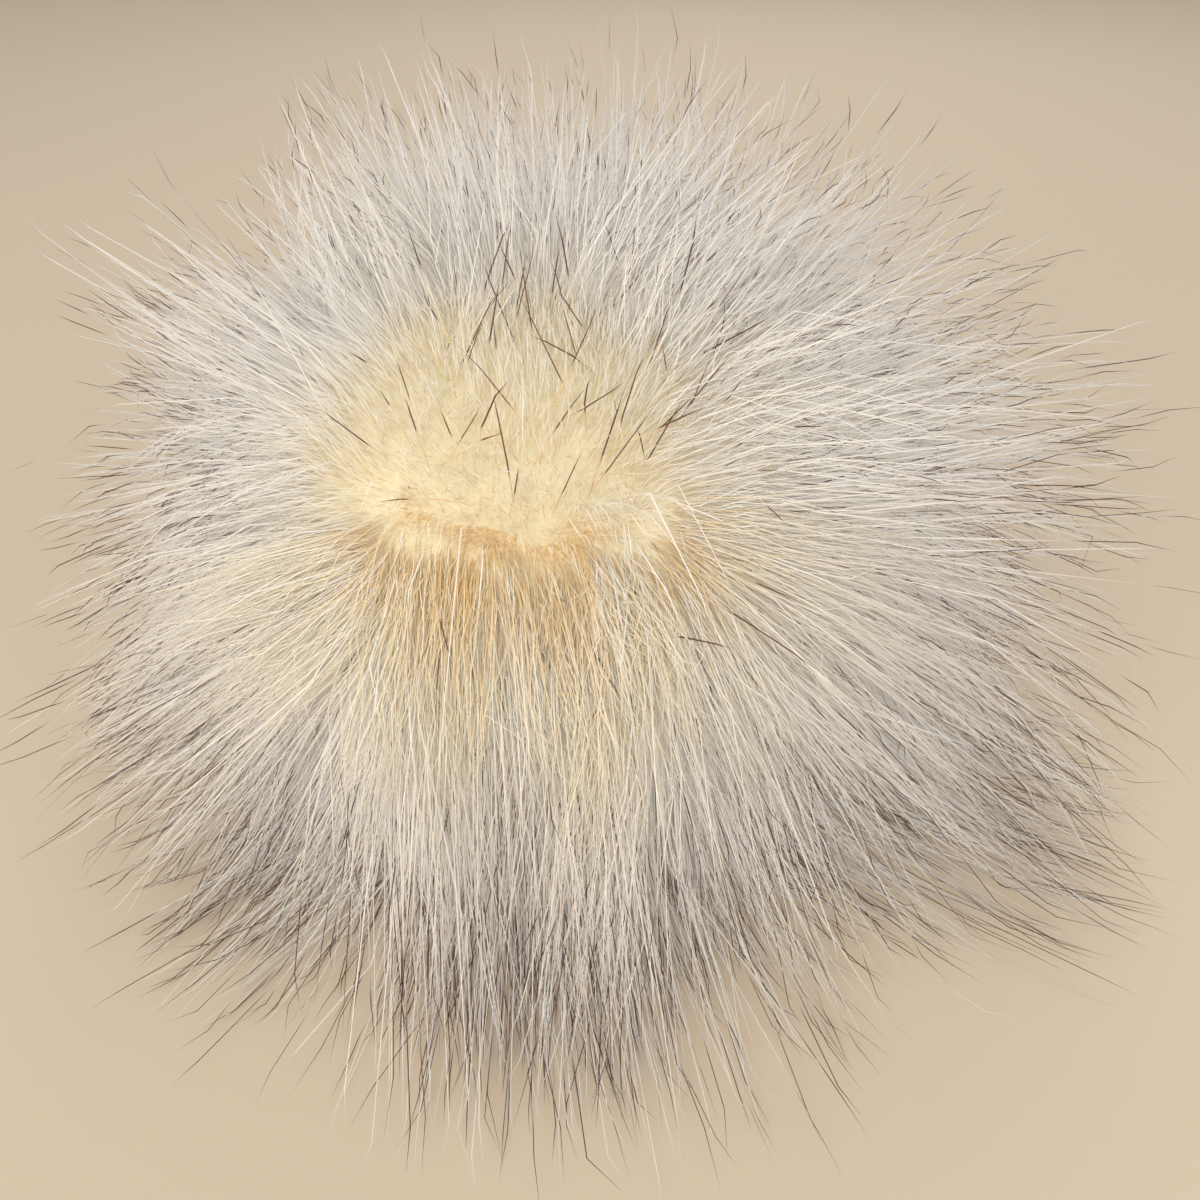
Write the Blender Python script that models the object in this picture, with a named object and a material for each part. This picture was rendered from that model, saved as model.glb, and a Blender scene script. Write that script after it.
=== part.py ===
"""A round pom pom of long-pile faux fur, resting on its flattened underside.

Metres, +Z up. The origin is on the resting surface, under the middle of the whole pile.
"""

import math

import bmesh
import bpy
from mathutils import Vector

# Overall size of the pile, tip to tip
WIDTH = 0.176            # along X
DEPTH = 0.182            # along Y
HEIGHT = 0.112           # along Z

# The stuffed ball that the pile grows from sits left of the middle, because the pile on the right is longer.
# Every point of the surface is placed on a ray from a hub at that ball's foot.
HUB_SIDE = -0.014        # X of the hub
HUB_HEIGHT = 0.030       # Z of the hub
DOME_POWER = 2.1         # 2 is an ellipse, more is a squarer shoulder
UNDER_REACH = 0.105      # how far the pile would hang below the hub if no surface stopped it
SKIRT_HEIGHT = 0.0045    # lower than this, the tips lie down on the surface

# Locks: tufts in which the fibres cling together, so the pile ends in soft points
LOCK_COUNT = 120
LOCK_RISE = 0.013        # how far a lock's tip stands out of the pile between the locks
LOCK_SPREAD = math.radians(15.5)   # from a lock's tip to its foot, seen from the hub
LOCK_SHAPE = 1.1         # 1 is a cone, more is a rounder tip with a softer foot
GOLDEN_ANGLE = math.radians(137.508)

SPHERE_SUBDIVISIONS = 5
FUR_COLOUR = (0.79, 0.70, 0.57, 1.0)
FUR_ROUGHNESS = 0.75


def lock_directions():
    """Unit vectors spread evenly over the sphere, each pushed a little off its place so that no rows show."""
    directions = []
    for index in range(LOCK_COUNT):
        height = 1 - 2 * (index + 0.5) / LOCK_COUNT
        height += 0.6 / LOCK_COUNT * math.sin(5.1 * index)
        turn = index * GOLDEN_ANGLE + 0.16 * math.sin(2.3 * index)
        across = math.sqrt(max(1 - height * height, 0))
        directions.append(Vector((across * math.cos(turn), across * math.sin(turn), height)).normalized())
    return directions


def lock_sizes():
    """How much each lock stands out, as a share of LOCK_RISE: no two neighbours are alike."""
    return [0.72 + 0.28 * math.sin(3.7 * index + 0.9) for index in range(LOCK_COUNT)]


def dome_reach(direction):
    """Distance from the hub to the pile's smooth form: a quarter superellipsoid for each side."""
    side = WIDTH / 2 - HUB_SIDE if direction.x > 0 else WIDTH / 2 + HUB_SIDE
    rise = HEIGHT - HUB_HEIGHT if direction.z > 0 else UNDER_REACH
    shares = (abs(direction.x) / side, abs(direction.y) / (DEPTH / 2), abs(direction.z) / rise)
    return sum(share ** DOME_POWER for share in shares) ** (-1 / DOME_POWER)


def lock_rise(direction, locks):
    """How far the nearest locks lift the surface here, from 0 between the locks to LOCK_RISE at a tip."""
    highest = 0.0
    for tip, size in locks:
        angle = direction.angle(tip)
        if angle < LOCK_SPREAD:
            highest = max(highest, size * (1 - (angle / LOCK_SPREAD) ** LOCK_SHAPE))
    return LOCK_RISE * highest


def pile_point(direction, locks):
    """The surface point on one ray. A ray that would pass below the resting surface ends on it."""
    reach = dome_reach(direction) - LOCK_RISE + lock_rise(direction, locks)
    if direction.z < 0:
        reach = min(reach, HUB_HEIGHT / -direction.z)
    point = Vector((HUB_SIDE, 0, HUB_HEIGHT)) + reach * direction
    if point.z < SKIRT_HEIGHT:
        point.z = 0
    return point


def fit_to_size(mesh):
    """Stretches the mesh so that its box is exactly WIDTH x DEPTH x HEIGHT, centred on the origin, its foot at z = 0."""
    lows = [min(vertex.co[axis] for vertex in mesh.verts) for axis in range(3)]
    highs = [max(vertex.co[axis] for vertex in mesh.verts) for axis in range(3)]
    for vertex in mesh.verts:
        for axis, size in enumerate((WIDTH, DEPTH, HEIGHT)):
            share = (vertex.co[axis] - lows[axis]) / (highs[axis] - lows[axis])
            vertex.co[axis] = size * (share - (0.5 if axis < 2 else 0))


def make_fur_material():
    material = bpy.data.materials.new("cream_fur")
    material.use_nodes = True
    shader = material.node_tree.nodes["Principled BSDF"]
    shader.inputs["Base Color"].default_value = FUR_COLOUR
    shader.inputs["Roughness"].default_value = FUR_ROUGHNESS
    shader.inputs["Metallic"].default_value = 0.0
    return material


def make_fur_ball():
    """The whole pile as one solid: a sphere of rays from the hub, each as long as the pile reaches there."""
    locks = list(zip(lock_directions(), lock_sizes()))
    mesh = bmesh.new()
    bmesh.ops.create_icosphere(mesh, subdivisions=SPHERE_SUBDIVISIONS, radius=1)
    for vertex in mesh.verts:
        vertex.co = pile_point(vertex.co.normalized(), locks)
    fit_to_size(mesh)
    bmesh.ops.recalc_face_normals(mesh, faces=mesh.faces)

    data = bpy.data.meshes.new("fur_ball")
    mesh.to_mesh(data)
    mesh.free()
    data.shade_smooth()
    data.materials.append(make_fur_material())
    fur_ball = bpy.data.objects.new("fur_ball", data)
    bpy.context.scene.collection.objects.link(fur_ball)
    return fur_ball


for leftover in list(bpy.data.objects):
    bpy.data.objects.remove(leftover)

make_fur_ball()
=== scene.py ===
import math

import bpy
import numpy as np
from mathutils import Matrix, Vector


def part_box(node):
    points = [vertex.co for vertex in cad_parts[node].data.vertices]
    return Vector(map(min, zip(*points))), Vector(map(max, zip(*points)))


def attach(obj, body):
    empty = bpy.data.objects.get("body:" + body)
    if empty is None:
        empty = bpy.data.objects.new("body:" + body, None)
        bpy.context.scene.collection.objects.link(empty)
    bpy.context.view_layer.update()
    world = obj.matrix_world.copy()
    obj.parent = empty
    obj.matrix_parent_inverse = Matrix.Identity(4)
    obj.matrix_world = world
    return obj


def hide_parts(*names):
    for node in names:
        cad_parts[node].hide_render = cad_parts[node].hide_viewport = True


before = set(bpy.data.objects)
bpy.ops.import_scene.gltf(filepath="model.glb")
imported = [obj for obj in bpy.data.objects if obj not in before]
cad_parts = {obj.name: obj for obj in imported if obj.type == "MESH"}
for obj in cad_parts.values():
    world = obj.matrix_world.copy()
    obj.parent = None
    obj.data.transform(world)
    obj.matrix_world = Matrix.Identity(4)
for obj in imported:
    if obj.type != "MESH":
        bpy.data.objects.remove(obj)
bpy.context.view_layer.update()        # one solid, fur_ball, on one body, root
boxLow, boxHigh = (np.array(corner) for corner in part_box("fur_ball"))
boxSize = boxHigh - boxLow
print("pom pom: frame loaded, box in mm", (boxSize * 1000).round(1))

goldenAngle = math.radians(137.508)
mapName = "OFBake"       # the strands' own map: across it the tint, up it the way from root to tip

# The pile as a whole. Places are shares of the box, lengths are in metres, angles in radians. A
# height is the z of a unit direction from the heart: 1 straight up, 0 on the level.
pile = {
    "heartPlace": (0.42, 0.50, 0.45),     # middle of the stuffed ball that the fur grows from
    "woolShare": 0.53,                    # top of the dense short wool, as a share of the pile's reach
    "whorl": (0.03, -0.94, 0.34),         # the way the middle of the parting faces
    "partHalf": 0.34,                     # half the length of the parting, an arc on the level
    "partWander": 0.035,                  # how far it wanders up and down
    "partWaves": ((1.0, 9, 1), (0.35, 23, 0)),    # share, turns and start of each wave in that
    "partEdge": (0.0, 0.12),              # the angle from it over which fur begins below it
    "partRise": (-0.3, 0.1),              # rise of the way off it: below up to the first, above past the last
    "fluff": (-0.11, -0.74, 0.67),        # the way the patch of bare short wool above it faces
    "locks": 260,                         # tufts as wide as a finger, each brushed its own way
    "tuftUnevenness": 0.9,                # how unevenly the middles of locks and tufts are spread
    "shoulder": 2.1,                      # 2 is an ellipsoid, more is a squarer outline
    "outlinePower": 2.4,                  # the same for the outline seen from above
    "outlineReach": (0.90, 1.09),         # shares of that outline that tips are drawn in to
    "underReach": 0.085,                  # how far the pile would hang if nothing were under it
    "lowestRoot": -0.85,                  # height below which nothing grows
    "lowHeights": (-0.5, 0.4),            # heights from which fur is low pile to which it isn't
    "splayHeights": (-0.4, 0.3),          # the same for how it splays
    "topHeights": (0.1, 0.9),             # heights over which the top is trimmed
    "lengthSpread": (0.7, 1.3),           # share of a fur's shortest length that a strand may have
    "surfaceGap": 0.0004,                 # the lowest strands lie this far above the surface
    "layer": 0.0045,                      # depth of the layer in which the lowest strands lie
    "layerPower": 1.5,                    # over 1, most of them lie low in it
    "restSoftness": 0.0022,               # how softly a strand eases onto its resting height
    "slide": 0.55,                        # how far it slides outwards for each length that it is raised
    "ballShade": 0.8,                     # how far the strands are shaded as the ball is, under 1
}
heart = boxLow + np.array(pile["heartPlace"]) * boxSize


def unit(vectors):
    # Each vector divided by its own length.
    return vectors / np.linalg.norm(vectors, axis=-1, keepdims=True)


def ease(low, high, values):
    # 0 below low, 1 above high, and between them 3x^2 - 2x^3 of the share of the way.
    share = np.clip((values - low) / (high - low), 0, 1)
    return share * share * (3 - 2 * share)


def softFloor(values, lowest, softness):
    # The soft maximum of the values and the lowest: softness * log(1 + e^((value - lowest) / softness)).
    return lowest + softness * np.logaddexp(0, (values - lowest) / softness)


def fadeOff(distances, spread):
    # 1 at no distance, falling off as e^-(distance / spread)^2.
    return np.exp(-(distances / spread) ** 2)


def angleTo(directions, centre):
    # The angle between each direction and one centre, in radians.
    return np.arccos(np.clip(directions @ centre, -1, 1))


whorl = unit(np.array(pile["whorl"]))
fluff = unit(np.array(pile["fluff"]))
sideways = unit(np.cross([0, 0, 1], whorl))
upwards = np.cross(whorl, sideways)


def fromParting(directions):
    # The angle from each direction to the nearest point of the parting, and the way to go straight on
    # from that point over the ball: direction * cosine - point, which is made a unit vector. The
    # parting wanders up and down, so the directions are first moved by waves along it.
    along = np.arctan2(directions @ sideways, directions @ whorl)
    waves = sum(share * np.sin(turns * along + start) for share, turns, start in pile["partWaves"])
    directions = unit(directions + (pile["partWander"] * waves)[:, None] * upwards)
    along = np.clip(along, -pile["partHalf"], pile["partHalf"])
    nearest = np.cos(along)[:, None] * whorl + np.sin(along)[:, None] * sideways
    cosine = np.clip((directions * nearest).sum(axis=1), -1, 1)
    away = directions * cosine[:, None] - nearest
    return np.arccos(cosine), away / np.maximum(np.linalg.norm(away, axis=1, keepdims=True), 1e-6)


def spreadDirections(count, draw, unevenness=0.7):
    # Directions over the whole sphere: a golden-angle spiral from top to bottom, each point nudged
    # by a draw that is mostly within half the distance to its neighbour, times the unevenness.
    place = np.arange(count) + 0.5
    height = 1 - 2 * place / count
    across = np.sqrt(1 - height ** 2)
    turn = place * goldenAngle
    spiral = np.stack([across * np.cos(turn), across * np.sin(turn), height], axis=1)
    nudge = unevenness * math.sqrt(4 * math.pi / count) * 0.5
    return unit(spiral + draw.normal(0, nudge, spiral.shape))


def pileReach(directions):
    # Distance from the heart to the outer form of the pile: a superellipsoid whose half lengths are
    # the distances from the heart to the box's six sides, and deeper below than the surface allows.
    toHigh = boxHigh - heart
    toLow = heart - boxLow
    toLow[2] = pile["underReach"]
    half = np.where(directions > 0, toHigh, toLow)
    shares = np.abs(directions) / half
    return (shares ** pile["shoulder"]).sum(axis=1) ** (-1 / pile["shoulder"])


def nearestOf(directions, centres, atOnce=2000):
    # For each direction, the number of the centre that makes the smallest angle with it. They are
    # compared a batch at a time, which keeps the tables small.
    return np.concatenate([np.argmax(part @ centres.T, axis=1)
                           for part in np.array_split(directions, 1 + len(directions) // atOnce)])


lockDraw = np.random.default_rng(pile["locks"])
lockCentres = spreadDirections(pile["locks"], lockDraw, pile["tuftUnevenness"])
lockTurns = lockDraw.normal(0, 1, lockCentres.shape)
lockWarmth = lockDraw.random(pile["locks"])

# How every fur is brushed away from the parting, hangs and is gathered.
brush = {
    "rise": (-0.1, 0.4),          # rise of the way off the parting: combed fully up to the first
    "aboveShare": 0.25,           # comb above the parting, as a share of the comb below it
    "onward": 0.4,                # bend away from the parting, as a share of the comb
    "hangPower": 0.75,            # under 1, strands hang well before they are level
    "stretch": 0.18,              # how much longer a bend of 1 makes a strand
    "strayBend": 0.45,            # how far a stray bends its own way
    "tuftBend": 0.10,             # how far a tuft does
    "tuftHold": (0.3, 1.2),       # share of its tuft's pull that a strand takes
    "waveTurns": (3.0, 8.0),      # how far round its waves go over a strand, and where they start
    "waveStart": (0.0, 6.28),
}


def comb(directions, fur):
    # The way each strand starts and how it bends over its length. It starts outwards, tipped away
    # from the parting, most beside and below it. It bends down by its own weight, more the flatter
    # it points, on away from the parting, and with the lock that it belongs to.
    gap, away = fromParting(directions)
    below = 1 - ease(*brush["rise"], (away @ upwards)[:, None])
    side = brush["aboveShare"] + (1 - brush["aboveShare"]) * below
    near = fadeOff(gap[:, None], fur["combSpread"]) * side
    starts = unit(directions + (fur["lay"] + fur["comb"] * near) * away)
    flat = 1 - directions[:, 2:3] ** 2
    hang = fur["droop"] * flat ** brush["hangPower"] * np.array([0, 0, -1.0])
    onward = brush["onward"] * fur["comb"] * near * away
    return starts, hang + onward + fur["lockBend"] * lockTurns[nearestOf(directions, lockCentres)]


def strandPaths(directions, starts, bends, lengths, rootRadius, steps):
    # Point at share s of a strand: root + length * (start * s + bend * s^2 / 2), shortened for the
    # length that the bend adds.
    s = steps[:, :, None]
    stretch = 1 + brush["stretch"] * (bends ** 2).sum(axis=1)
    run = (lengths / stretch)[:, None, None]
    root = heart + directions * rootRadius[:, None]
    return root[:, None, :] + run * (starts[:, None, :] * s + bends[:, None, :] * s ** 2 / 2)


def layOnSurface(points, rest, outward):
    # Where a strand would pass below its own resting height it eases onto it, and slides outwards
    # by a share of the height that it was raised.
    eased = softFloor(points[..., 2], rest, pile["restSoftness"])
    raised = eased - points[..., 2]
    laid = points.copy()
    laid[..., :2] += outward * (pile["slide"] * raised)[..., None]
    laid[..., 2] = eased
    return laid


def drawInTips(paths, draw):
    # Where a tip is past its share of the outline, seen from above, the strand is drawn in towards
    # its root by that share over the tip's own: (|x / half|^p + |y / half|^p)^(1 / p).
    middle = (boxLow + boxHigh)[:2] / 2
    half = boxSize[:2] / 2
    power = pile["outlinePower"]
    tips = (np.abs((paths[:, -1, :2] - middle) / half) ** power).sum(axis=1) ** (1 / power)
    allowed = draw.uniform(*pile["outlineReach"], len(paths))
    drawnIn = np.minimum(1, allowed / tips)[:, None, None]
    paths[..., :2] = paths[:, :1, :2] + (paths[..., :2] - paths[:, :1, :2]) * drawnIn
    return paths


# What every fur does unless its own dictionary says otherwise.
furHabit = {
    "kept": 0.9,                # share of the whole ball's directions that is left, as a guess
    "within": 4.0,              # farthest root from the parting, as an angle
    "above": 1.0,               # chance of a root above the parting
    "patch": 4.0,               # farthest root from patchPlace, as an angle
    "patchPlace": pile["fluff"],
    "inFluff": 1.0,             # chance of a root in the bare patch
    "fluffEdge": (0.2, 0.6),    # angles from its middle at which the bare patch thins and has ended
    "lengthBias": 1.0,          # over 1, most strands are nearer the short end of their reach
    "lowBias": 1.0,             # the same low down
    "topTrim": 0.0,             # share of the reach that is taken off at the top
    "lowReach": 0.0,            # share of the reach that is added low down
    "rootDepth": 0.0015,        # deepest root below the top of the short wool
    "lay": 0.15,                # how far strands are tipped away from the parting everywhere
    "comb": 1.3,                # how much farther they are beside it
    "combSpread": 0.7,          # the angle over which that fades
    "droop": 0.48,              # bend down under the strand's own weight
    "lockBend": 0.12,           # bend with the lock
    "lean": 0.10,               # how far each strand starts its own way
    "unruly": 0.10,             # how far it bends its own way
    "splay": 0.0,               # how many times more it does so low down
    "strays": 0.0,              # share of strands that bend far their own way
    "wave": 0.0,                # sideways waves, as a share of the length
    "tufts": (),                # for each size of tuft: how many, their pull, the power it grows with
    "coarseGlint": 0.0,              # share of strands that are thicker and all pale: white fibres that in part stand in for glints, a painted highlight
    "coarseWidth": 1.6,         # how many times thicker those are
    "paleTop": 0.0,             # share of the darkness that is lost at the top
    "warmth": (0.0, 0.5),       # the palest strand and the warmest
    "darkness": (0.0, 0.0),     # tips' darkness, drawn between these and then kept from 0 to 1
}


def chooseRoots(fur, faces, draw):
    # Root directions, kept by chance out of a whole ball of them: fewer in the bare patch unless they
    # are below the parting, and only near enough to the parting, in the patch and on the side faced.
    whole = spreadDirections(int(fur["strands"] / fur["kept"]), draw)
    whole = whole[draw.permutation(len(whole))]
    side = np.sign(whole @ np.array(faces, float)) if any(faces) else np.ones(len(whole))
    gap, away = fromParting(whole)
    under = ease(*pile["partEdge"], gap) * (1 - ease(*pile["partRise"], away @ upwards))
    bare = 1 - np.maximum(ease(*fur["fluffEdge"], angleTo(whole, fluff)), under)
    chance = 1 - (1 - fur["inFluff"]) * bare
    chance = np.where(gap < fur["within"], chance, 0) * np.where(under > 0, 1, fur["above"])
    patchMiddle = unit(np.array(fur["patchPlace"]))
    chance = np.where(angleTo(whole, patchMiddle) < fur["patch"], chance, 0)
    keep = (draw.random(len(whole)) < chance) & (side > 0) & (whole[:, 2] > pile["lowestRoot"])
    return whole[keep][:fur["strands"]]


def rootsAndLengths(fur, directions, draw):
    # Each root's distance from the heart, a little under the top of the short wool, and its strand's
    # length: a drawn share of the pile's reach less that distance, or the shortest if that is more.
    count = len(directions)
    heights = directions[:, 2]
    lowness = 1 - ease(*pile["lowHeights"], heights)
    bias = fur["lengthBias"] + (fur["lowBias"] - fur["lengthBias"]) * lowness
    nearReach, farReach = fur["reach"]
    share = nearReach + (farReach - nearReach) * draw.random(count) ** bias
    share *= 1 - fur["topTrim"] * ease(*pile["topHeights"], heights)
    share *= 1 + fur["lowReach"] * lowness
    rootRadius = woolReach(directions) - fur["rootDepth"] * draw.random(count)
    shortest = fur["shortest"] * draw.uniform(*pile["lengthSpread"], count)
    return rootRadius, np.maximum(share * pileReach(directions) - rootRadius, shortest)


def gatherTufts(fur, own, directions, lengths, rootRadius, steps, draw):
    # Moves each strand towards the path that it would have in the middle of its tuft, by the pull
    # times the strand's own hold times the step to a power, and does so for each size of tuft.
    gathered = own
    for tuftCount, pull, power in fur["tufts"]:
        tuftDraw = np.random.default_rng(tuftCount)
        tufts = spreadDirections(tuftCount, tuftDraw, pile["tuftUnevenness"])
        tuftStarts, tuftBends = comb(tufts, fur)
        tuftBends += tuftDraw.normal(0, brush["tuftBend"], tufts.shape)
        chosen = nearestOf(directions, tufts)
        lead = strandPaths(tufts[chosen], tuftStarts[chosen], tuftBends[chosen], lengths, rootRadius, steps)
        weight = (pull * draw.uniform(*brush["tuftHold"], len(directions)))[:, None] * steps ** power
        gathered = gathered + (lead - own) * np.clip(weight, 0, 1)[:, :, None]
    return gathered


def growFur(fur, faces, draw):
    # The strands' paths, as an array of strand x step x 3, with the steps and the root directions.
    # Each is combed, given its own lean and bend, gathered, waved, laid on the surface and drawn in.
    directions = chooseRoots(fur, faces, draw)
    count = len(directions)
    rootRadius, lengths = rootsAndLengths(fur, directions, draw)
    starts, bends = comb(directions, fur)
    starts = unit(starts + draw.normal(0, fur["lean"], (count, 3)))
    low = 1 + fur["splay"] * (1 - ease(*pile["splayHeights"], directions[:, 2:3]))
    bends += draw.normal(0, fur["unruly"], (count, 3)) * low
    strays = draw.random(count) < fur["strays"]
    bends[strays] += draw.normal(0, brush["strayBend"], (int(strays.sum()), 3))
    steps = np.array(fur["steps"]) + draw.uniform(-0.5, 0.5, (count, 1)) * np.array(fur["stepShift"])
    own = strandPaths(directions, starts, bends, lengths, rootRadius, steps)
    gathered = gatherTufts(fur, own, directions, lengths, rootRadius, steps, draw)

    waveSize = draw.normal(0, fur["wave"], (count, 1, 3))
    waveTurns = draw.uniform(*brush["waveTurns"], (count, 1, 1))
    waveStart = draw.uniform(*brush["waveStart"], (count, 1, 1))
    ripple = waveSize * np.sin(waveTurns * steps[:, :, None] + waveStart)
    paths = gathered + ripple * steps[:, :, None] * lengths[:, None, None]

    outward = unit(directions[:, :2] + 1e-6)[:, None, :]
    inLayer = pile["layer"] * draw.random((count, 1)) ** pile["layerPower"]
    laid = layOnSurface(paths, boxLow[2] + pile["surfaceGap"] + inLayer, outward)
    return drawInTips(laid, draw), steps, directions


# The shape of a single strand, and how it stands in its column of the map.
spindle = {
    "swell": 0.5,        # how its thickness first grows with the share of its length, and then falls
    "taper": 0.75,
    "inColumn": 0.3,     # how far to either side of the column's middle its corners stand
    "corkscrew": 0.02,   # how much higher one of the three corners stands
    "margin": 0.02,      # how far its root and tip stand from the map's edges
}


def strandFaces(rings):
    # One strand's faces on its 3 x rings + 2 points, as a run of corners and each face's corner
    # count: three triangles at the root, three four-sided walls between rings, three at the tip.
    turn = np.arange(3)
    after = (turn + 1) % 3
    ring = 1 + np.arange(rings - 1)[:, None] * 3
    last, tip = 1 + (rings - 1) * 3, 1 + rings * 3
    root = np.stack([np.zeros(3, int), 1 + after, 1 + turn], axis=1).reshape(-1)
    walls = np.stack([ring + turn, ring + after, ring + 3 + after, ring + 3 + turn], axis=2).reshape(-1)
    end = np.stack([last + turn, last + after, np.full(3, tip)], axis=1).reshape(-1)
    return np.concatenate([root, walls, end]), [3] * 3 + [4] * 3 * (rings - 1) + [3] * 3


def strandMesh(name, paths, steps, thickness, column, columns, draw):
    # Every strand is a closed three-sided spindle: one point at its root, a triangle round each inner
    # step of its path, one point at its tip. A triangle's corners sit at a third of a turn from each
    # other, and their distance from the path is thickness * (1 + swell * s - taper * s^2).
    count, rings = paths.shape[0], paths.shape[1] - 2
    s = steps[:, 1:-1]
    forward = unit(paths[:, 2:] - paths[:, :-2])
    anySide = draw.normal(0, 1, (count, 1, 3))
    across = unit(np.cross(forward, anySide))
    up = np.cross(forward, across)
    profile = 1.0 + spindle["swell"] * s - spindle["taper"] * s ** 2
    corner = np.arange(3) * 2 * math.pi / 3
    around = (across[:, :, None, :] * np.cos(corner)[:, None]
              + up[:, :, None, :] * np.sin(corner)[:, None])
    radius = (thickness[:, None] * profile)[:, :, None, None]
    ringPoints = (paths[:, 1:-1, None, :] + radius * around).reshape(count, rings * 3, 3)
    points = np.concatenate([paths[:, :1], ringPoints, paths[:, -1:]], axis=1)

    perStrand = rings * 3 + 2
    corners, sizes = strandFaces(rings)
    starts = np.concatenate([[0], np.cumsum(sizes)[:-1]])
    loops = (corners[None, :] + (np.arange(count) * perStrand)[:, None]).reshape(-1)
    loopStarts = (starts[None, :] + (np.arange(count) * len(corners))[:, None]).reshape(-1)
    mesh = bpy.data.meshes.new(name)
    mesh.vertices.add(count * perStrand)
    mesh.vertices.foreach_set("co", points.astype(np.float32).reshape(-1))
    mesh.loops.add(len(loops))
    mesh.loops.foreach_set("vertex_index", loops.astype(np.int32))
    mesh.polygons.add(len(loopStarts))
    mesh.polygons.foreach_set("loop_start", loopStarts.astype(np.int32))
    mesh.update(calc_edges=True)

    # On the map a strand stands upright in its tint's column, a little inside the column's edges.
    inset, lift, margin = spindle["inColumn"], spindle["corkscrew"], spindle["margin"]
    inColumn = np.concatenate([[0.5], np.tile([0.5 - inset, 0.5, 0.5 + inset], rings), [0.5]])
    upRings = np.repeat(s, 3, axis=1) + np.tile([0.0, lift, 0.0], rings)
    upMap = np.concatenate([np.zeros((count, 1)), upRings, np.ones((count, 1))], axis=1)
    mapAcross = (column[:, None] + inColumn[None, :]) / columns
    mapPlaces = np.stack([mapAcross, upMap * (1 - 2 * margin) + margin], axis=2).reshape(-1, 2)[loops]
    layer = mesh.uv_layers.new(name=mapName)
    layer.uv.foreach_set("vector", mapPlaces.astype(np.float32).reshape(-1))
    mesh.shade_smooth()

    # The strands take part of their shading from the ball that they cover, as fine fibre does.
    own = np.empty(len(mesh.vertices) * 3, np.float32)
    mesh.vertices.foreach_get("normal", own)
    ball = unit(points.reshape(-1, 3) - heart)
    shaded = unit(own.reshape(-1, 3) + pile["ballShade"] * ball)
    normals = mesh.attributes.new("custom_normal", "FLOAT_VECTOR", "POINT")
    normals.data.foreach_set("vector", shaded.astype(np.float32).reshape(-1))
    return mesh


def addPiece(name, data):
    # Puts a mesh, lamp or camera into the scene as an object of its own.
    piece = bpy.data.objects.new(name, data)
    bpy.context.scene.collection.objects.link(piece)
    return piece


class Wire:
    # One output socket that Python arithmetic works on. Each operator adds one Math node.
    def __init__(self, tree, socket=None):
        self.tree = tree
        self.socket = socket

    def node(self, kind, settings, values, output=0):
        # a node of the type given: its settings first, then a value or a link for each input
        made = self.tree.nodes.new(kind)
        for name, setting in settings.items():
            setattr(made, name, setting)
        for name, value in values.items():
            if isinstance(value, Wire):
                self.tree.links.new(value.socket, made.inputs[name])
            else:
                made.inputs[name].default_value = value
        return Wire(self.tree, made.outputs[output])

    def math(self, operation, *values):
        return self.node("ShaderNodeMath", {"operation": operation}, dict(enumerate(values)))

    def __add__(self, other):
        return self.math("ADD", self, other)

    def __radd__(self, other):
        return self.math("ADD", other, self)

    def __sub__(self, other):
        return self.math("SUBTRACT", self, other)

    def __rsub__(self, other):
        return self.math("SUBTRACT", other, self)

    def __mul__(self, other):
        return self.math("MULTIPLY", self, other)

    def __rmul__(self, other):
        return self.math("MULTIPLY", other, self)

    def __truediv__(self, other):
        return self.math("DIVIDE", self, other)

    def whole(self):
        # the whole number below this
        return self.math("FLOOR", self)

    def step(self, low, high):
        # 0 below low, 1 above high, eased between them
        return self.node("ShaderNodeMapRange", {"interpolation_type": "SMOOTHSTEP"},
                         {"Value": self, "From Min": low, "From Max": high})

    def part(self, number):
        # one of the three numbers of a vector
        return self.node("ShaderNodeSeparateXYZ", {}, {0: self}, number)

    def mix(self, first, second):
        # the first colour where this is 0, the second where it is 1
        return self.node("ShaderNodeMix", {"data_type": "RGBA"}, {0: self, 6: first, 7: second}, 2)

    def into(self, shader, *sockets):
        # links this to each of the shader's sockets named
        for socket in sockets:
            self.tree.links.new(self.socket, shader.inputs[socket])


def linear(red, green, blue):
    # A colour given in display values from 0 to 255, as the renderer's linear values.
    shares = np.array([red, green, blue]) / 255
    curve = np.where(shares <= 0.04045, shares / 12.92, ((shares + 0.055) / 1.055) ** 2.4)
    return (*curve.tolist(), 1.0)


def newMaterial(name, settings):
    # A material whose shader has the constants given, its shader, and a wire to build on.
    material = bpy.data.materials.new(name)
    material.use_nodes = True
    shader = material.node_tree.nodes["Principled BSDF"]
    for socket, value in settings.items():
        shader.inputs[socket].default_value = value
    return material, shader, Wire(material.node_tree)


# What the strands' colours are made of. A strand's column on the map says how warm it is, in
# warmSteps steps, and within each of those how dark its tip is, in darkSteps steps. Places along
# the strand are shares of its length from the root.
furDye = {
    "warmSteps": 6,
    "darkSteps": 8,
    "root": linear(229, 192, 131),
    "warmBody": linear(253, 240, 210),
    "paleBody": linear(250, 246, 240),
    "smoke": linear(186, 152, 140),
    "tip": linear(74, 32, 25),
    "strayTip": linear(104, 72, 58),
    "rootFull": (0.0, 0.25),      # how far up the root's colour is full, for the palest and the warmest
    "rootEnds": (0.45, 0.85),     # where it has faded, for the same two
    "rootShare": (0.15, 1.0),     # how much of it there is, for the same two
    "tipStarts": 0.925,           # where the tip starts on the palest strand that has one
    "smokeEdge": (-0.14, 0.02),   # from there, where the smoke starts and is full
    "smokeShare": 0.5,
    "smokeFrom": (0.0, 0.4),      # darkness at which smoke starts to show and shows in full
    "tipEdge": (0.0, 0.06),       # the same places and darknesses for the tip
    "tipFrom": (0.1, 0.4),
    "sheen": 0.08,
    "sheenRoughness": 0.4,
    "paintedGlow": 0.10,                 # painted light: the fur glows this much in its own colour, standing in for the light that clear fibres pass on to each other
}
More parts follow.
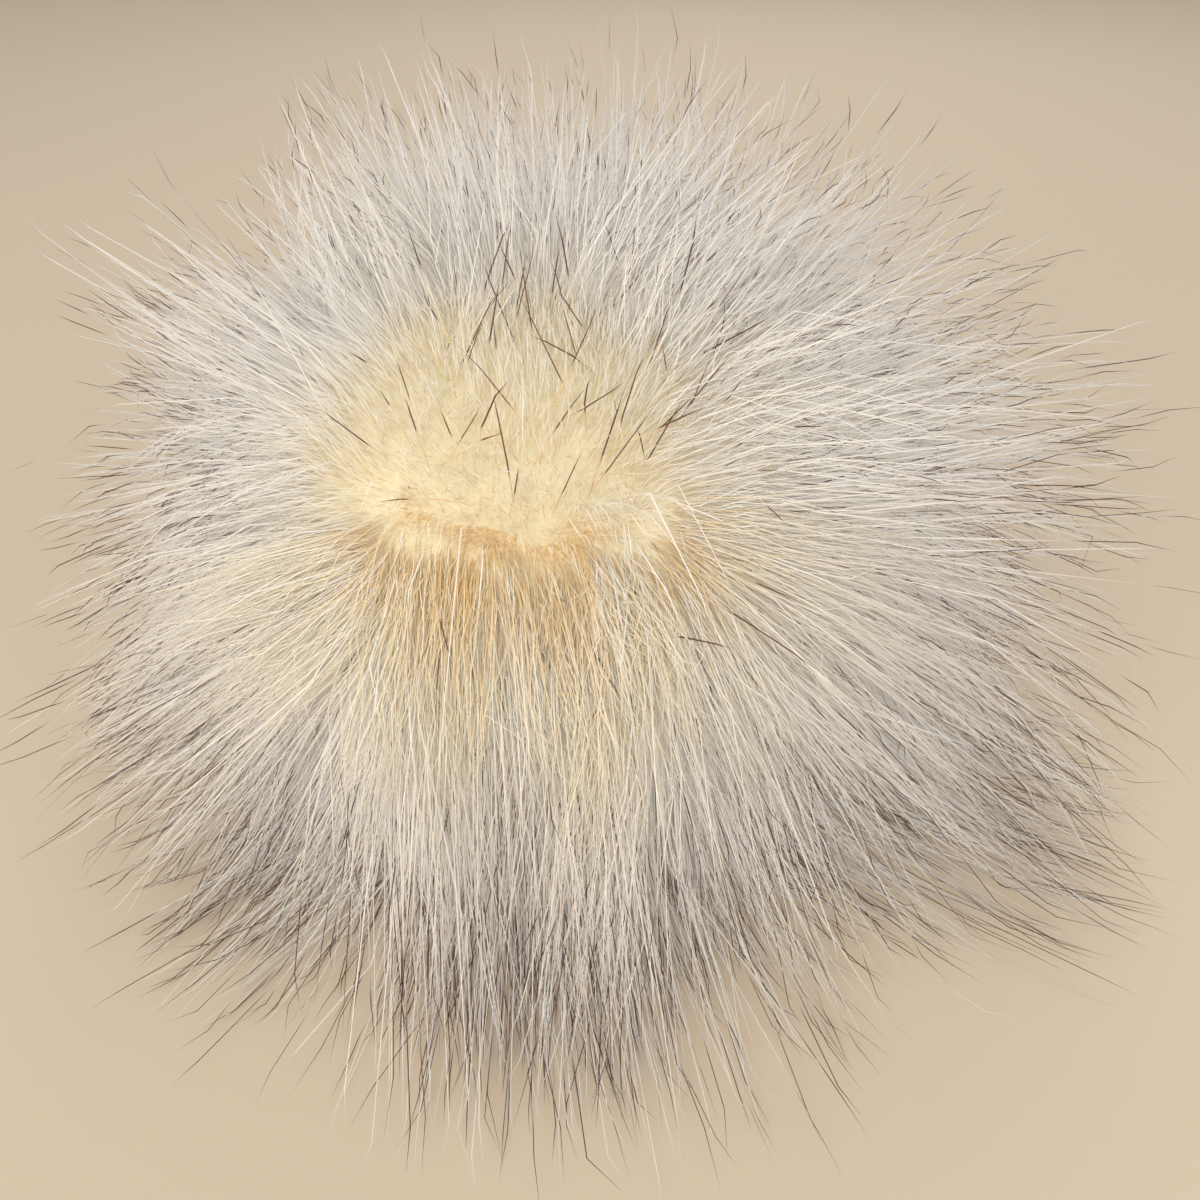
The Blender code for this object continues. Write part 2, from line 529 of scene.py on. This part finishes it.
furColumns = furDye["warmSteps"] * furDye["darkSteps"]


def between(ends, share):
    # The first end plus the share of the way to the last.
    return ends[0] + share * (ends[1] - ends[0])


def furMaterial(name, roughness, shine, darkReach=0.22, tipColour=furDye["tip"]):
    # Colour up the strand: warm root, then body, then smoky grey, then the dark tip. The darker the
    # strand's column, the earlier the smoke and the tip begin, by up to darkReach of the length.
    material, shader, wire = newMaterial(name, {
        "Roughness": roughness, "Specular IOR Level": shine, "Sheen Weight": furDye["sheen"],
        "Sheen Roughness": furDye["sheenRoughness"], "Emission Strength": furDye["paintedGlow"]})
    place = wire.node("ShaderNodeUVMap", {"uv_map": mapName}, {})
    across = place.part(0)
    way = place.part(1)
    warmCount, darkCount = furDye["warmSteps"], furDye["darkSteps"]
    warmStep = (across * warmCount).whole()
    darkStep = (across * furColumns - warmStep * darkCount).whole()
    warmth = warmStep / (warmCount - 1)
    darkness = darkStep / (darkCount - 1)

    body = warmth.mix(furDye["paleBody"], furDye["warmBody"])
    faded = way.step(between(furDye["rootFull"], warmth), between(furDye["rootEnds"], warmth))
    rooted = ((1 - faded) * between(furDye["rootShare"], warmth)).mix(body, furDye["root"])
    pastStart = way - (furDye["tipStarts"] - darkness * darkReach)
    smoke = pastStart.step(*furDye["smokeEdge"]) * darkness.step(*furDye["smokeFrom"])
    smoked = (smoke * furDye["smokeShare"]).mix(rooted, furDye["smoke"])
    dark = pastStart.step(*furDye["tipEdge"]) * darkness.step(*furDye["tipFrom"])
    # the same colour also glows: painted light for the light that fibres pass on to each other
    dark.mix(smoked, tipColour).into(shader, "Base Color", "Emission Color")
    return material


# The stuffed ball with the short dense wool that covers it.
woolBall = {
    "rows": 110,
    "columns": 150,
    "foot": 0.007,          # the wool lies flat this far above the surface, and eases onto that
    "footSoftness": 0.003,
    "partDepth": 0.045,     # share of the radius that the parting is drawn in
    "partWidth": 0.070,     # the parting's width, as an angle, and how that varies along it:
    "widthWave": (0.4, 13, 1),    # share, turns and start
    "lumps": 0.014,         # share of the radius that the surface rises and falls by
    "lumpWaves": (          # share, then two waves that are multiplied: turns along x, y and z, start
        (1.0, (9, 4, 0), 0, (0, 8, -5), 1),
        (0.6, (9, 0, 17), 0, (0, 15, 0), 3),
        (0.4, (31, 0, 0), 0, (0, 9, 27), 0),
    ),
    "fibresRound": 110.0,   # how fine the fibres are across their lay, and along it
    "fibresAlong": 9.0,
    "fineScale": 1500.0,    # how fine the even noise is, and the patches of tan
    "patchScale": 120.0,
    "fleckEdge": (0.36, 0.64),    # noise at which a fleck starts to be light and is
    "relief": 0.5,
    "reliefDepth": 0.0004,
    "creamEdge": (0.4, 1.4),      # angles from the bare patch at which cream starts to fade and has
    "belowRise": (-0.4, 0.2),     # rise of the way off the parting, below which all is tan
    "belowSpread": 0.36,          # the angle from the whorl over which that tan fades
    "tanFrom": 0.6,               # how much tan the parting and the wool below it have
    "tanPatches": 1.6,            # how much patches vary it
    "tanEdge": (0.25, 1.1),       # tan that starts to show, and that shows in full
    "tanShare": (0.95, 0.65),     # how much it hides what is under it, in the dark and light flecks
    "grooveShadeShare": 0.35,           # how much painted shade darkens the wool in the dark flecks, the low places of the relief
    "tan": linear(238, 206, 152),
    "deepTan": linear(218, 172, 112),
    "cream": linear(253, 240, 203),
    # painted shade multiplied into the dark flecks, the low places of the relief; white leaves the rest as it
    # is
    "ivory": linear(252, 241, 219),
    "paintedGrooveShade": linear(205, 190, 160),
    "lightFleck": linear(255, 255, 255),
    "roughness": 0.85,
    "shine": 0.2,
    "sheen": 0.3,
    "sheenRoughness": 0.5,
}


def partingTrough(directions):
    # 1 along the parting, fading off across it over a width that varies along it.
    gap = fromParting(directions)[0]
    share, turns, start = woolBall["widthWave"]
    width = woolBall["partWidth"] * (1 + share * np.sin(turns * (directions @ sideways) + start))
    return fadeOff(gap, width)


def woolReach(directions):
    # Distance from the heart to the top of the short wool: its share of the pile's reach, times one
    # plus low waves, less the trough along the parting.
    waves = sum(share * np.sin(directions @ np.array(turns) + start)
                * np.sin(directions @ np.array(otherTurns) + otherStart)
                for share, turns, start, otherTurns, otherStart in woolBall["lumpWaves"])
    shape = 1 + woolBall["lumps"] * waves - woolBall["partDepth"] * partingTrough(directions)
    return pile["woolShare"] * pileReach(directions) * shape


def addNumbers(mesh, name, numbers):
    # Gives each point of the mesh three numbers of its own that a material can read.
    layer = mesh.attributes.new(name, "FLOAT_VECTOR", "POINT")
    layer.data.foreach_set("vector", numbers.astype(np.float32).reshape(-1))


def makeWoolBall():
    # A closed ball on a grid of rows, from the whorl to its far side, and columns round that axis,
    # with one point at each end. Each direction goes out to woolReach and is laid flat underneath.
    rows, columns = woolBall["rows"], woolBall["columns"]
    tilt = (np.arange(1, rows) / rows * math.pi)[:, None, None]
    turn = (np.arange(columns) / columns * 2 * math.pi)[None, :, None]
    directions = np.cos(tilt) * whorl + np.sin(tilt) * (np.cos(turn) * sideways + np.sin(turn) * upwards)
    directions = np.concatenate([[whorl], directions.reshape(-1, 3), [-whorl]])
    points = heart + directions * woolReach(directions)[:, None]
    points[:, 2] = softFloor(points[:, 2], boxLow[2] + woolBall["foot"], woolBall["footSoftness"])

    row = 1 + np.arange(rows - 2)[:, None] * columns
    here = np.arange(columns)[None, :]
    beside = (here + 1) % columns
    walls = np.stack([row + here, row + columns + here, row + columns + beside, row + beside], axis=2)
    foot = 1 + (rows - 2) * columns
    topFan = np.stack([np.zeros(columns, int), 1 + here[0], 1 + beside[0]], axis=1)
    footFan = np.stack([np.full(columns, len(points) - 1), foot + beside[0], foot + here[0]], axis=1)
    mesh = bpy.data.meshes.new("woolBall")
    mesh.from_pydata(points, [], walls.reshape(-1, 4).tolist() + topFan.tolist() + footFan.tolist())
    mesh.shade_smooth()

    # lay runs round and along the fibres; tints has the parting, the cream and the tan below
    tilts = angleTo(directions, whorl)
    turns = np.arctan2(directions @ upwards, directions @ sideways)
    addNumbers(mesh, "lay", np.stack([np.cos(turns) * woolBall["fibresRound"],
                                      np.sin(turns) * woolBall["fibresRound"],
                                      tilts * woolBall["fibresAlong"]], axis=1))
    creamy = 1 - ease(*woolBall["creamEdge"], angleTo(directions, fluff))
    rise = fromParting(directions)[1] @ upwards
    below = (1 - ease(*woolBall["belowRise"], rise)) * fadeOff(tilts, woolBall["belowSpread"])
    addNumbers(mesh, "tints", np.stack([partingTrough(directions), creamy, below], axis=1))
    return addPiece("woolBall", mesh)


def woolMaterial():
    # Fine fibre that runs away from the parting: noise drawn out along the lay, and a finer even
    # noise. Both lift the surface a little. Where they are high the tan is lighter, and where they are
    # low it is deeper and painted shade darkens the wool, as in grooves between fibres. Tan shows in
    # patches in and below the parting, and cream in the bare patch.
    material, shader, wire = newMaterial("denseWool", {
        "Roughness": woolBall["roughness"], "Specular IOR Level": woolBall["shine"],
        "Sheen Weight": woolBall["sheen"], "Sheen Roughness": woolBall["sheenRoughness"],
        "Emission Strength": furDye["paintedGlow"]})
    lay = wire.node("ShaderNodeAttribute", {"attribute_name": "lay"}, {}, 1)
    tints = wire.node("ShaderNodeAttribute", {"attribute_name": "tints"}, {}, 1)
    parting, creamy, below = tints.part(0), tints.part(1), tints.part(2)
    place = wire.node("ShaderNodeTexCoord", {}, {}, 3)
    streaks = wire.node("ShaderNodeTexNoise", {}, {
        "Vector": lay, "Scale": 1.0, "Detail": 3.0, "Roughness": 0.6})
    fine = wire.node("ShaderNodeTexNoise", {}, {
        "Vector": place, "Scale": woolBall["fineScale"], "Detail": 3.0, "Roughness": 0.7})
    patches = wire.node("ShaderNodeTexNoise", {}, {
        "Vector": place, "Scale": woolBall["patchScale"], "Detail": 2.0})
    # 0 where the noise, and with it the relief, is low, 1 where it is high
    fleck = (streaks * 0.5 + fine * 0.5).step(*woolBall["fleckEdge"])
    body = creamy.mix(woolBall["ivory"], woolBall["cream"])
    warm = fleck.mix(woolBall["deepTan"], woolBall["tan"])
    tanHere = (parting + below) * woolBall["tanFrom"] + (patches - 0.5) * woolBall["tanPatches"]
    tan = tanHere.step(*woolBall["tanEdge"]) * between(woolBall["tanShare"], fleck)
    colour = tan.mix(body, warm)
    # painted shade: the dark flecks, low in the relief, are darkened by the multiply below
    shade = fleck.mix(woolBall["paintedGrooveShade"], woolBall["lightFleck"])
    shaded = wire.node("ShaderNodeMix", {"data_type": "RGBA", "blend_type": "MULTIPLY"},
                       {0: woolBall["grooveShadeShare"], 6: colour, 7: shade}, 2)
    # the same colour also glows: painted light for the light that fibres pass on to each other
    shaded.into(shader, "Base Color", "Emission Color")
    relief = wire.node("ShaderNodeBump", {}, {
        "Strength": woolBall["relief"], "Distance": woolBall["reliefDepth"],
        "Height": streaks * 0.6 + fine * 0.4})
    relief.into(shader, "Normal")
    return material


def finishPiece(piece, material):
    # Gives a piece its material and its body, and hides the node that it replaces. Its
    # triangles are all its faces' corners, less two for each face.
    piece.data.materials.append(material)
    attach(piece, "root")
    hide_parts("fur_ball")
    triangles = len(piece.data.loops) - 2 * len(piece.data.polygons)
    print("pom pom:", piece.name, "made,", triangles, "triangles")


woolPiece = makeWoolBall()
finishPiece(woolPiece, woolMaterial())
softWool = furMaterial("softWool", 0.75, 0.2)
silkyFibre = furMaterial("silkyFibre", 0.38, 0.7)
strayHair = furMaterial("strayHair", 0.5, 0.3, 0.55, furDye["strayTip"])

# In each fur, steps are the shares of its length at which a strand has a point, and each strand
# moves its own by up to half of stepShift. Thickness is from the middle of a strand to a corner, its
# smallest and largest. Reach is how far tips go, as shares of the pile's reach.

# Short warm wool that stands on the ball between the longer strands.
fuzz = {
    "seed": 11, "strands": 26000, "material": softWool,
    "steps": (0, 0.55, 1), "stepShift": (0, 0.3, 0), "thickness": (0.00005, 0.00009),
    "reach": (0.53, 0.66), "shortest": 0.0045, "rootDepth": 0.0006,
    "lay": 0.35, "comb": 0.55, "droop": 0.25, "lockBend": 0.25, "lean": 0.30, "unruly": 0.15,
    "tufts": ((3500, 0.2, 1.0), (700, 0.25, 1.0)), "warmth": (0.2, 1.0),
}

# Wavy tan-rooted locks that fall from the parting.
partingLocks = {
    "seed": 53, "strands": 7000, "kept": 0.024, "within": 0.30, "above": 0.0, "material": silkyFibre,
    "steps": (0, 0.30, 0.66, 1), "stepShift": (0, 0.2, 0.2, 0), "thickness": (0.00005, 0.00008),
    "reach": (0.60, 0.92), "lengthBias": 1.3, "shortest": 0.012, "rootDepth": 0.0008,
    "comb": 1.0, "combSpread": 1.0, "droop": 0.7, "lockBend": 0.55,
    "lean": 0.20, "unruly": 0.26, "wave": 0.10, "coarseGlint": 0.03,
    "tufts": ((1500, 0.6, 1.0), (260, 0.3, 1.0)), "warmth": (0.1, 1.1),
}

# Ivory pile that gives the ball its body, in a front and a back piece.
paleFur = {
    "seed": 23, "strands": 29000, "kept": 0.41, "material": silkyFibre,
    "steps": (0, 0.52, 1), "stepShift": (0, 0.35, 0), "thickness": (0.00005, 0.00008),
    "reach": (0.55, 0.80), "lengthBias": 1.6, "lowBias": 1.6, "topTrim": 0.22, "shortest": 0.009,
    "inFluff": 0.10, "fluffEdge": (0.35, 0.80), "lockBend": 0.30, "lean": 0.14, "unruly": 0.13,
    "splay": 0.8, "strays": 0.01, "wave": 0.02, "coarseGlint": 0.01,
    "tufts": ((2500, 0.5, 1.2), (420, 0.38, 1.0)),
    "warmth": (0.0, 0.8), "darkness": (0.0, 0.3), "paleTop": 0.6,
}

# Long guard hairs, most of them with dark tips, in a front and a back piece.
guardHairs = {
    "seed": 37, "strands": 14000, "kept": 0.40, "material": silkyFibre,
    "steps": (0, 0.45, 0.92, 1), "stepShift": (0, 0.3, 0.05, 0), "thickness": (0.00006, 0.00010),
    "reach": (0.58, 1.12), "lengthBias": 2.0, "lowBias": 1.7, "topTrim": 0.03, "lowReach": 0.10,
    "shortest": 0.014, "inFluff": 0.01, "fluffEdge": (0.45, 0.95), "lay": 0.12, "lockBend": 0.30,
    "lean": 0.13, "unruly": 0.15, "splay": 2.0, "strays": 0.04, "wave": 0.05, "coarseGlint": 0.012,
    "tufts": ((1800, 0.55, 1.5), (420, 0.45, 1.2)),
    "warmth": (0.0, 0.3), "darkness": (-0.45, 1.1), "paleTop": 0.6,
}

# A few dark-tipped hairs that lie across the bare patch.
looseHairs = {
    "seed": 71, "strands": 120, "kept": 0.080, "patch": 0.62, "patchPlace": (0.24, -0.79, 0.55),
    "steps": (0, 0.42, 0.80, 1), "stepShift": (0, 0.3, 0.15, 0), "thickness": (0.00008, 0.00013),
    "reach": (0.60, 0.64), "shortest": 0.016, "rootDepth": 0.0, "material": strayHair,
    "lay": 1.3, "comb": 0.4, "droop": 0.1, "lockBend": 0.2, "lean": 0.45, "unruly": 0.08,
    "warmth": (0.6, 1.0), "darkness": (0.3, 1.3),
}

# Where strands are warm: at the whorl by lock, and elsewhere by lock, by chance and near the bare
# patch. A spread is the angle over which it fades.
warmPlaces = {
    "whorlSpread": 0.40,
    "whorlLeast": 0.55,
    "fluffSpread": 0.85,
    "fluffShare": 0.35,
    "lockShare": 0.2,
    "chanceShare": 0.2,
    "paleHeights": (0.0, 0.7),    # heights over which tips get paler towards the top
}


def tintColumns(fur, directions, coarseGlint, draw):
    # Each strand's column on the map: its warmth in whole steps, times the steps of darkness, plus
    # its darkness in whole steps. Coarse strands are all pale, white fibres that in part stand in for glints
    # as painted highlight.
    count = len(directions)
    nearWhorl = fadeOff(angleTo(directions, whorl), warmPlaces["whorlSpread"])
    nearFluff = fadeOff(angleTo(directions, fluff), warmPlaces["fluffSpread"])
    ofLock = lockWarmth[nearestOf(directions, lockCentres)]
    elsewhere = (warmPlaces["lockShare"] * ofLock + warmPlaces["chanceShare"] * draw.random(count)
                 + warmPlaces["fluffShare"] * nearFluff)
    warmShare = nearWhorl * between((warmPlaces["whorlLeast"], 1), ofLock) + elsewhere * (1 - nearWhorl)
    warmth = np.clip(between(fur["warmth"], warmShare), 0, 1)
    paler = fur["paleTop"] * ease(*warmPlaces["paleHeights"], directions[:, 2])
    darkness = np.clip(draw.uniform(*fur["darkness"], count) * (1 - paler), 0, 1)
    warmth[coarseGlint] = 0
    darkness[coarseGlint] = 0
    warmStep = np.round(warmth * (furDye["warmSteps"] - 1))
    return warmStep * furDye["darkSteps"] + np.round(darkness * (furDye["darkSteps"] - 1))


def makeFur(ownHabit, name, faces):
    # One piece of fur: its strands are grown, given their thickness and tint, and made one mesh.
    fur = {**furHabit, **ownHabit}
    draw = np.random.default_rng(fur["seed"] + int(faces[1] > 0))
    paths, steps, directions = growFur(fur, faces, draw)
    count = len(paths)
    print("pom pom:", name, "has", count, "strands")
    coarseGlint = draw.random(count) < fur["coarseGlint"]
    thickness = draw.uniform(*fur["thickness"], count) * np.where(coarseGlint, fur["coarseWidth"], 1.0)
    column = tintColumns(fur, directions, coarseGlint, draw)
    piece = addPiece(name, strandMesh(name, paths, steps, thickness, column, furColumns, draw))
    finishPiece(piece, fur["material"])


everyway, frontward, backward = (0, 0, 0), (0, -1, 0), (0, 1, 0)
makeFur(fuzz, "woolFuzz", everyway)
makeFur(partingLocks, "partingLocks", everyway)
makeFur(looseHairs, "looseHairs", everyway)
for name, fur in (("paleFur", paleFur), ("guardHairs", guardHairs)):
    makeFur(fur, name + "Front", frontward)
    makeFur(fur, name + "Back", backward)

# The room: a plain floor, three soft lamps and an even sky.
room = {
    "floorSize": 6.0,
    "floorColour": linear(236, 217, 191),
    "floorRoughness": 0.7,
    "sky": 0.42,             # how bright the sky is
    "skyColour": (1.0, 0.98, 0.96, 1.0),
    "skyReach": 0.004,       # how near something has to be to shut out the sky, deep in the pile
    "skyBounces": 2,         # bounces after which the sky stands in for the rest
    "cameraPlace": (-0.002, -0.175, 0.148),
    "cameraPitch": 35.0,     # degrees that it looks down by
    "lens": 36.1,            # millimetres, on a sensor as wide as a film frame
    "sensor": 36.0,
    "nearest": 0.01,
}
lamps = {
    # place, size, strength, colour
    "keyLamp": ((-0.37, -0.75, 0.51), 1.0, 6.0, (1.0, 0.96, 0.89)),
    "fillLamp": ((0.6, -0.5, 0.4), 0.8, 1.6, (1.0, 0.98, 0.95)),
    "backLamp": ((0.1, 0.7, 0.6), 0.5, 1.2, (1.0, 0.98, 0.95)),
}


def makeFloor():
    # One square, its middle under the pom pom.
    half = room["floorSize"] / 2
    mesh = bpy.data.meshes.new("floor")
    corners = [(-half, -half, 0), (half, -half, 0), (half, half, 0), (-half, half, 0)]
    mesh.from_pydata(corners, [], [(0, 1, 2, 3)])
    mesh.materials.append(newMaterial("plainFloor", {
        "Base Color": room["floorColour"], "Roughness": room["floorRoughness"]})[0])
    addPiece("floor", mesh)


def aim(thing, target):
    # Turns a lamp so that it looks along the line to the target.
    thing.rotation_euler = (Vector(target) - thing.location).to_track_quat("-Z", "Y").to_euler()


def makeLamps():
    # Round lamps that are aimed at the heart of the ball, and an even sky.
    for name, (place, size, strength, colour) in lamps.items():
        light = bpy.data.lights.new(name, "AREA")
        light.shape = "DISK"
        light.size = size
        light.energy = strength
        light.color = colour
        lamp = addPiece(name, light)
        lamp.location = place
        aim(lamp, heart)
    world = bpy.data.worlds.new("paleSky")
    world.use_nodes = True
    sky = world.node_tree.nodes["Background"]
    sky.inputs["Color"].default_value = room["skyColour"]
    sky.inputs["Strength"].default_value = room["sky"]
    world.light_settings.distance = room["skyReach"]
    bpy.context.scene.world = world


def makeCamera():
    # A level camera would be turned up by 90 degrees, so this one is by 90 less its pitch.
    lens = bpy.data.cameras.new("camera")
    lens.sensor_width = room["sensor"]
    lens.lens = room["lens"]
    lens.clip_start = room["nearest"]
    camera = addPiece("camera", lens)
    camera.location = room["cameraPlace"]
    camera.rotation_euler = (math.radians(90 - room["cameraPitch"]), 0, 0)
    bpy.context.scene.camera = camera


def setLook():
    # Deep in the pile, sky light stands in for more bounces. Three lamps need no light tree, and
    # thin strands are found faster with spatial splits.
    scene = bpy.context.scene
    scene.view_settings.view_transform = "Standard"
    scene.cycles.use_fast_gi = True
    scene.cycles.fast_gi_method = "REPLACE"
    scene.cycles.ao_bounces_render = room["skyBounces"]
    scene.cycles.use_light_tree = False
    scene.cycles.debug_use_spatial_splits = True


makeFloor()
makeLamps()
makeCamera()
setLook()
print("pom pom: room ready")
